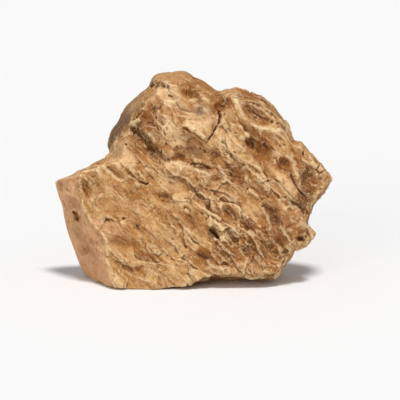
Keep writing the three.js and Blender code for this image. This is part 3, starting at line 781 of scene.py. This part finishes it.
def left_planes(points, normals):
    """The two old planes on the left, each 0 to 1: one above the shoulder and one below it."""
    x, _, z = points.T
    left = -normals[:, 0]
    across, up, _ = seen_from_front(points)
    _, beyond_edge, _ = line_distance(across, up, BREAKS[1][1])
    upper = smoothstep(-2, 3, beyond_edge) * smoothstep(0.1, 0.35, left) * smoothstep(104, 116, z)
    upper *= smoothstep(-94, -88, x)
    lower = smoothstep(0.35, 0.6, left) * smoothstep(-118, -98, -z) * smoothstep(70, 90, -x)
    return upper, lower


def roughness_of(stone, points, planes):
    """How rough the stone is: as drawn on the face, middling elsewhere, and low on the old planes."""
    across, up, _ = seen_from_front(points)
    front = facing_front(stone)
    rough = face_roughness(across, up) * front + MIDDLING_ROUGHNESS * (1 - front)
    rough *= np.clip(1 + 0.8 * cloud(points, 26, 21.0), 0.4, 1.4)
    return rough + (OLD_PLANE_ROUGHNESS - rough) * planes


def broken_relief(grain, kind, sample):
    """Shards that stand in or out and tilt, with how far inside a point is and the numbers."""
    size, stand, lean = kind
    inside, number, tilt = shards(grain, size, sample)
    return (number - 0.5) * stand + tilt * lean, inside, number


def flaked_relief(stone, grain, rough):
    """Plates, flakes and chips, with a small pit in a few of the chips."""
    plates, _, _ = broken_relief(grain, PLATES, 2.0)
    flakes, _, flake_tone = broken_relief(grain, FLAKES, 7.0)
    chips, inside, number = broken_relief(grain, CHIPS, 17.0)
    pitted = (number > 1 - PITTED_SHARE) * smoothstep(0.2, 0.8, rough)
    pits = PIT_DEPTH * smoothstep(0.0, 0.3, inside) * pitted
    store_mask(stone, "flake_tone", flake_tone)
    return plates * np.clip(rough * 1.5 - 0.2, 0.06, 1) + flakes * rough + chips * rough - pits


def scooped_relief(points, bent, grain, rough):
    """Patches of great and small scoops, and how near a rim between them is."""
    patches = smoothstep(-0.25, 0.35, cloud(points, 28, 37.0)) * smoothstep(0.1, 0.7, rough)
    great, great_rims = scoops(along_grain(bent, 2.0), GREAT_SCOOPS, 61.0)
    small, small_rims = scoops(grain, SMALL_SCOOPS, 67.0)
    return -(great + small) * patches, np.maximum(great_rims, 0.4 * small_rims) * patches


def fibre_frame(waved, steep):
    """The points along the fibres of the clay, which turn steeper where steep says."""
    plain = along_grain(waved, FIBRE_STRETCH)
    return plain * (1 - steep) + along_grain(waved, FIBRE_STRETCH, STEEP_GRAIN_TURN) * steep


def ridged_relief(points, rough):
    """Fibrous ridges and overlapping blades, and how near a crest or a lip is."""
    great_size, great_height = GREAT_FINS
    small_size, small_height = SMALL_FINS
    across, up, _ = seen_from_front(points)
    steep = smoothstep(0, 50, across) * smoothstep(-100, -75, -up)
    waved = points + bend(points, FIBRE_BEND)
    fibres = fibre_frame(waved, steep[:, None])

    fibrous = smoothstep(-0.15, 0.3, cloud(points, 22, 33.0) + 0.4 * steep)
    fibrous *= smoothstep(0.2, 0.8, rough)
    great = fins(fibres, great_size, 41.0)
    small = fins(fibres, small_size, 47.0)
    ridges = great_height * (great ** 5 - 0.15) + small_height * (small ** 4 - 0.2)
    crests = np.maximum(smoothstep(0.80, 0.98, great), 0.4 * smoothstep(0.82, 0.98, small))

    split = smoothstep(-0.25, 0.2, cloud(along_grain(waved, 1.8), 13, 97.0))
    split *= smoothstep(0.15, 0.7, rough) * (0.55 + 0.45 * steep)
    bladed, lips = blades(fibres, BLADES, 101.0)
    return ridges * fibrous + bladed * split, np.maximum(crests * fibrous, lips * split)


def weather_stone(stone):
    """Weathers the whole surface along the clay's grain, clear of the foot."""
    points = points_of(stone)
    edges = edges_of(stone)
    normals = evened_normals(stone, edges, 4)
    planes = np.maximum(*left_planes(points, spread(normals, edges, 12)))
    rough = roughness_of(stone, points, planes)
    bent = points + bend(points, GRAIN_BEND)
    grain = along_grain(bent, 2.3)

    fold_size, fold_height = FOLDS
    folds = fold_height * cloud(along_grain(bent, 4.0), fold_size, 29.0, 1) * (1 - 0.4 * planes)
    flaked = flaked_relief(stone, grain, rough)
    scooped, rims = scooped_relief(points, bent, grain, rough)
    ridged, crests = ridged_relief(points, rough)
    # The fin, blade and rim crests are painted pale, partly as wear and partly as painted highlight.
    store_mask(stone, "fin_crests", np.clip(np.maximum(crests, rims), 0, 1))

    relief = flaked + folds + ridged + scooped - WORN_AWAY
    clear_of_foot = smoothstep(0.5, 5, points[:, 2])
    broad_side = 0.55 + 0.45 * np.abs(seen_from_front(normals)[2])
    move_points(stone, points + normals * (relief * broad_side * clear_of_foot)[:, None])


def blunt_crumbs(stone):
    """Wears down thin crumbs that stand out more than weathered clay can."""
    points = points_of(stone)
    edges = edges_of(stone)
    normals = evened_normals(stone, edges, 2)
    proud = stand_proud(points, normals, edges, 3)
    move_points(stone, points - normals * np.maximum(proud - CRUMB_HEIGHT, 0)[:, None])


def finish_mesh(stone):
    flatten_foot(stone, 0.6)
    triangles = sum(len(face.vertices) - 2 for face in stone.data.polygons)
    share = FINISHED_TRIANGLES / triangles
    apply_modifier(stone, "DECIMATE", ratio=min(share, 1), use_collapse_triangulate=True)
    flatten_foot(stone, 0.2)
    bpy.ops.object.shade_smooth()


# Masks for the material, worked out from the finished shape.

def mask_relief(stone, points, normals, edges):
    """Masks of what stands out of its surroundings or lies in them, near and wide. What lies in them is for
    painted shade, and what stands out for pale worn edges and painted highlight.
    """
    fine, middling, broad = (stand_proud(points, normals, edges, rounds) for rounds in (3, 18, 120))
    store_mask(stone, "worn_highlit_edges", smoothstep(0.14, 0.7, fine))
    store_mask(stone, "crevice_shade", smoothstep(0.14, 0.7, -fine))
    store_mask(stone, "crests", smoothstep(0.4, 1.8, middling))
    store_mask(stone, "dent_shade", smoothstep(0.3, 1.8, -middling))
    store_mask(stone, "recess_shade", smoothstep(-0.8, 3.0, -broad))


def skins_and_side_shade(points, normals):
    """On the upper-left side that the face turns away to, grey-brown and umber that are partly older skin
    and partly painted shade, darker towards the bottom; pink older surface on the lower-left side; and
    patches of older surface behind.
    """
    wander = 5 * cloud(points, 14, 83.0)[:, None] * np.array([(1, 0, 0.5)])
    upper_left, lower_left = left_planes(points + wander, normals)
    darker_below = 1.25 - 0.9 * smoothstep(140, 185, points[:, 2])
    uneven = np.clip(0.9 + 0.6 * cloud(points, 13, 85.0), 0.4, 1)
    behind = smoothstep(0.0, 0.5, normals[:, 1]) + 0.5 * smoothstep(0.5, 0.8, np.abs(normals[:, 0]))
    patches = cloud(points, 42, 87.0)
    # Painted shade, partly also older skin: the upper-left side is grey-brown, more so towards the bottom.
    grey_and_shade_left = upper_left * uneven * darker_below * 0.9
    grey_behind = behind * smoothstep(0.1, 0.45, patches) * 0.5
    pink_behind = behind * smoothstep(0.1, 0.4, -patches) * 0.6
    rust_behind = behind * smoothstep(0.05, 0.5, cloud(points, 30, 95.0)) * 0.7
    return {
        "umber_and_shade": np.clip(upper_left * (darker_below - 0.75), 0, 1),
        "grey_and_shade": np.clip(np.maximum(grey_and_shade_left, grey_behind), 0, 1),
        "pink": np.clip(np.maximum(lower_left, pink_behind), 0, 1),
        "rust": np.clip(rust_behind, 0, 1),
    }


def mask_stone(stone):
    points = points_of(stone)
    edges = edges_of(stone)
    normals = evened_normals(stone, edges, 2)
    mask_relief(stone, points, normals, edges)
    store_mask(stone, "crest_tone", crest_tone(*bent_face(points, FACE_BEND)) * facing_front(stone))
    across, up = bent_face(points, STAIN_BEND)
    ragged = 1 + 0.4 * cloud(along_grain(points, 2.5), 6, 77.0, 3)
    face_side = smoothstep(-0.35, 0.0, -seen_from_front(normals)[2])
    skins = skins_and_side_shade(points, spread(normals, edges, 25))
    # The umber and grey masks carry painted shade as well as stains.
    for overlay, spots in STAINS_AND_SHADE.items():
        drawn = np.zeros(len(points))
        for *place, strength in spots:
            spot = 1 - smoothstep(0.5, 1.15, oval(across, up, place) * ragged)
            drawn = np.maximum(drawn, strength * spot)
        store_mask(stone, overlay + "_stain", np.maximum(drawn * face_side, skins.get(overlay, 0)))


# Materials.

def tone(red, green, blue):
    """A colour as seen on a screen, 0 to 255, as the linear colour that shaders use."""
    linear = [((c / 255 + 0.055) / 1.055) ** 2.4 for c in (red, green, blue)]
    return (*linear, 1)


OCHRE = tone(190, 137, 82)
ORANGE_BROWN = tone(166, 106, 51)
SAND = tone(226, 182, 125)
CREAM = tone(250, 220, 174)
PALE_CLAY = tone(234, 192, 141)
PINK_TAN = tone(219, 166, 122)
GREY_BROWN = tone(118, 97, 79)
RUST = tone(154, 96, 42)
UMBER = tone(112, 67, 27)
DEEP_SHADE = tone(104, 57, 18)

# Dry clay hardly shines.
DRY_SHEEN = 0.1

PAPER_WHITE = (0.86, 0.86, 0.86, 1)
PAPER_ROUGHNESS = 0.9


class Shader:
    """Adds nodes to one material and links them by name."""

    def __init__(self, material):
        material.use_nodes = True
        self.nodes = material.node_tree.nodes
        self.links = material.node_tree.links
        self.surface = self.nodes["Principled BSDF"]

    def add(self, kind, inputs=(), **settings):
        node = self.nodes.new(kind)
        for name, value in settings.items():
            setattr(node, name, value)
        for name, value in dict(inputs).items():
            self.put(value, node.inputs[name])
        return node

    def put(self, value, socket):
        if isinstance(value, bpy.types.NodeSocket):
            self.links.new(value, socket)
        else:
            socket.default_value = value

    def mask(self, name):
        return self.add("ShaderNodeAttribute", attribute_name=name).outputs["Fac"]

    def math(self, operation, first, second=0.0, clamp=False):
        node = self.add("ShaderNodeMath", operation=operation, use_clamp=clamp)
        self.put(first, node.inputs[0])
        self.put(second, node.inputs[1])
        return node.outputs[0]

    def times(self, first, second):
        return self.math("MULTIPLY", first, second)

    def ramp(self, value, low, high):
        """0 at low and 1 at high, also where low is the larger of the two."""
        node = self.add("ShaderNodeMapRange", {
            "Value": value, "From Min": low, "From Max": high}, interpolation_type="SMOOTHSTEP")
        return node.outputs["Result"]

    def tint(self, colour, overlay, amount, strength=1.0):
        """The colour with another colour over it, as strong as amount and strength together say."""
        node = self.add("ShaderNodeMix", data_type="RGBA")
        self.put(self.times(amount, strength), node.inputs["Factor"])
        self.put(colour, node.inputs[6])
        self.put(overlay, node.inputs[7])
        return node.outputs[2]

    def speck(self, vector, size, detail=3.0, rough=0.6, bent=0.0):
        """Soft specks of a size in millimetres, 0 to 1."""
        node = self.add("ShaderNodeTexNoise", {
            "Vector": vector, "Scale": 1 / (size * MM), "Detail": detail, "Roughness": rough,
            "Distortion": bent})
        return node.outputs["Fac"]

    def thin_lines(self, vector, size, width):
        """Thin lines where a soft noise passes its middle value."""
        soft = self.speck(vector, size, 1.0, 0.5, 0.15)
        off_middle = self.math("ABSOLUTE", self.math("SUBTRACT", soft, 0.5))
        return self.ramp(off_middle, width, 0.0)


class Clay(Shader):
    """The claystone's shader, with the patches, specks, streaks and lines that its colours share."""

    def __init__(self, material):
        super().__init__(material)
        place = self.add("ShaderNodeTexCoord").outputs["Object"]
        turned = self.add("ShaderNodeMapping", {
            "Vector": place, "Rotation": (VIEW_TILT, GRAIN_TURN, 0)}).outputs["Vector"]
        drawn, long_drawn = (
            self.add("ShaderNodeMapping", {"Vector": turned, "Scale": (along, 1, 1)}).outputs["Vector"]
            for along in (0.28, 0.16))
        self.patches = self.speck(place, 34)
        self.mottle = self.speck(place, 9, 4.0, 0.7)
        self.streaks = self.speck(drawn, 3.2, 4.0, 0.7)
        self.grit = self.speck(place, 1.6, 3.0, 0.7)
        self.pale_lines = self.times(
            self.thin_lines(long_drawn, 4.5, 0.035), self.ramp(self.mottle, 0.42, 0.62))
        self.dark_lines = self.times(
            self.thin_lines(drawn, 5.5, 0.03), self.ramp(self.mottle, 0.55, 0.38))


def fresh_clay(clay):
    """Ochre clay in patches, flakes, specks and streaks of orange-brown and sand."""
    flake = clay.mask("flake_tone")
    colour = clay.tint(OCHRE, ORANGE_BROWN, clay.ramp(clay.patches, 0.40, 0.68))
    colour = clay.tint(colour, SAND, clay.ramp(flake, 0.5, 1.0), 0.45)
    colour = clay.tint(colour, ORANGE_BROWN, clay.ramp(flake, 0.5, 0.0), 0.35)
    colour = clay.tint(colour, SAND, clay.ramp(clay.mottle, 0.5, 0.75), 0.6)
    colour = clay.tint(colour, SAND, clay.ramp(clay.streaks, 0.48, 0.7), 0.5)
    return clay.tint(colour, ORANGE_BROWN, clay.ramp(clay.streaks, 0.50, 0.32), 0.6)


def stained_and_shaded_clay(clay, colour):
    """Stains, older skins and painted shade of the upper-left side, then painted shade in the hollows, and
    last the umber, partly a stain and partly painted shade, that lies in them.
    """
    blotchy = clay.math("ADD", clay.ramp(clay.mottle, 0.25, 0.65), 0.45)
    for name, overlay in (("pink", PINK_TAN), ("cream", PALE_CLAY), ("rust", RUST), ("grey_and_shade", GREY_BROWN)):
        amount = clay.math("MULTIPLY", clay.mask(name + "_stain"), blotchy, True)
        colour = clay.tint(colour, overlay, amount)
    not_pale = clay.math("SUBTRACT", 1.0, clay.mask("cream_stain"))
    # Painted shade: the recesses darken towards orange-brown, less where the clay is pale, and the dents
    # and thin dark lines towards the deep shade colour.
    colour = clay.tint(colour, ORANGE_BROWN, clay.times(clay.mask("recess_shade"), not_pale), 0.45)
    colour = clay.tint(colour, DEEP_SHADE, clay.mask("dent_shade"), 0.38)
    colour = clay.tint(colour, DEEP_SHADE, clay.dark_lines, 0.30)
    # Umber, partly a real stain and partly painted shade in the hollows and holes, stronger where the grit
    # is dark.
    gritty = clay.math("ADD", clay.ramp(clay.grit, 0.7, 0.3), 0.45)
    return clay.tint(colour, UMBER, clay.math("MULTIPLY", clay.mask("umber_and_shade_stain"), gritty, True))


def worn_and_highlit_clay(clay, colour):
    """Pale crests and edges, partly worn clay and partly painted highlight, and less pale where rust or
    umber darkens the clay, then painted shade in the crevices, and grit.
    """
    darkened = clay.math("MAXIMUM", clay.mask("rust_stain"), clay.mask("umber_and_shade_stain"))
    clean = clay.math("SUBTRACT", 1.0, clay.times(darkened, 0.35))
    broken = clay.times(clay.ramp(clay.mottle, 0.28, 0.55), clean)
    # Painted highlight, partly also real wear: crests, crest lines and edges turn sand and cream.
    crest = clay.times(clay.mask("crests"), clay.ramp(clay.streaks, 0.3, 0.6))
    colour = clay.tint(colour, SAND, clay.times(crest, clean), 0.6)
    for name, strength in (("fin_crests", 0.5), ("worn_highlit_edges", 0.6), ("crest_tone", 0.6)):
        colour = clay.tint(colour, CREAM, clay.times(clay.mask(name), broken), strength)
    colour = clay.tint(colour, CREAM, clay.pale_lines, 0.35)
    # Painted shade in the fine crevices.
    colour = clay.tint(colour, DEEP_SHADE, clay.mask("crevice_shade"), 0.50)
    colour = clay.tint(colour, CREAM, clay.ramp(clay.grit, 0.54, 0.72), 0.50)
    return clay.tint(colour, UMBER, clay.ramp(clay.grit, 0.43, 0.28), 0.50)


def clay_grain(clay):
    """The finest relief: grit and streaks, with the pale lines raised and the dark ones cut."""
    height = clay.math("ADD", clay.times(clay.grit, 0.8), clay.streaks)
    height = clay.math("ADD", height, clay.times(clay.pale_lines, 0.5))
    height = clay.math("SUBTRACT", height, clay.times(clay.dark_lines, 0.5))
    bump = clay.add("ShaderNodeBump", {"Height": height, "Strength": 1.0, "Distance": 1.2 * MM})
    return bump.outputs["Normal"]


def claystone():
    material = bpy.data.materials.new("weathered_claystone")
    clay = Clay(material)
    clay.put(worn_and_highlit_clay(clay, stained_and_shaded_clay(clay, fresh_clay(clay))), clay.surface.inputs["Base Color"])
    clay.put(clay.math("ADD", clay.times(clay.mottle, 0.15), 0.82), clay.surface.inputs["Roughness"])
    clay.put(clay_grain(clay), clay.surface.inputs["Normal"])
    clay.put(DRY_SHEEN, clay.surface.inputs["Specular IOR Level"])
    return material


def plain_paper():
    material = bpy.data.materials.new("studio_paper")
    shader = Shader(material)
    shader.put(PAPER_WHITE, shader.surface.inputs["Base Color"])
    shader.put(PAPER_ROUGHNESS, shader.surface.inputs["Roughness"])
    return material


# The studio. The first four lengths are in metres.

CAMERA_DISTANCE = 3.2
CAMERA_REACH = 30
PICTURE_WIDTH = 0.4
FLOOR_SIZE = 14

# The middle of the picture, across and up on the face, and the width of the sensor.
PICTURE_MIDDLE = (7, 76)
SENSOR = 36

# Lights: the direction across, up and toward the camera, then strength and softness in degrees.
KEY_LIGHT = ((0.15, 1.0, 0.6), 2.4, 12)
FILL_LIGHT = ((-0.5, 0.2, 1.0), 0.55, 30)
SKY_COLOUR = (1, 1, 1, 1)
SKY_STRENGTH = 0.35


def front_point(across, up, depth):
    return Vector(from_front(*np.array([(across,), (up,), (depth,)], float))[0] * MM)


def set_camera():
    aim = front_point(*PICTURE_MIDDLE, FACE_MIDDLE_DEPTH)
    back = Vector((0, -math.cos(VIEW_TILT), math.sin(VIEW_TILT)))
    bpy.ops.object.camera_add(location=aim + back * CAMERA_DISTANCE)
    camera = bpy.context.object
    camera.rotation_euler = (math.pi / 2 - VIEW_TILT, 0, 0)
    camera.data.sensor_width = SENSOR
    camera.data.lens = SENSOR * CAMERA_DISTANCE / PICTURE_WIDTH
    camera.data.clip_end = CAMERA_REACH
    bpy.context.scene.camera = camera


def set_floor():
    bpy.ops.mesh.primitive_plane_add(size=FLOOR_SIZE)
    floor = bpy.context.object
    floor.name = "studio_floor"
    floor.data.materials.append(plain_paper())


def add_sun(direction, strength, softness):
    across, up, toward_camera = direction
    bpy.ops.object.light_add(type="SUN")
    lamp = bpy.context.object
    lamp.rotation_euler = front_point(across, up, -toward_camera).to_track_quat("Z", "Y").to_euler()
    lamp.data.energy = strength
    lamp.data.angle = math.radians(softness)


def set_lights():
    add_sun(*KEY_LIGHT)
    add_sun(*FILL_LIGHT)
    world = bpy.data.worlds.new("studio")
    world.use_nodes = True
    sky = world.node_tree.nodes["Background"]
    sky.inputs["Color"].default_value = SKY_COLOUR
    sky.inputs["Strength"].default_value = SKY_STRENGTH
    bpy.context.scene.world = world
    bpy.context.scene.view_settings.view_transform = "Standard"


def build_stone():
    stone = block_from_solid()
    carve_stone(stone)
    remesh(stone, WEATHERING_VOXEL)
    weather_stone(stone)
    blunt_crumbs(stone)
    mark_stone(stone)
    finish_mesh(stone)
    mask_stone(stone)
    stone.data.materials.append(claystone())
    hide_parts(STONE_NODE)
    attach(stone, "root")


set_camera()
set_floor()
set_lights()
build_stone()
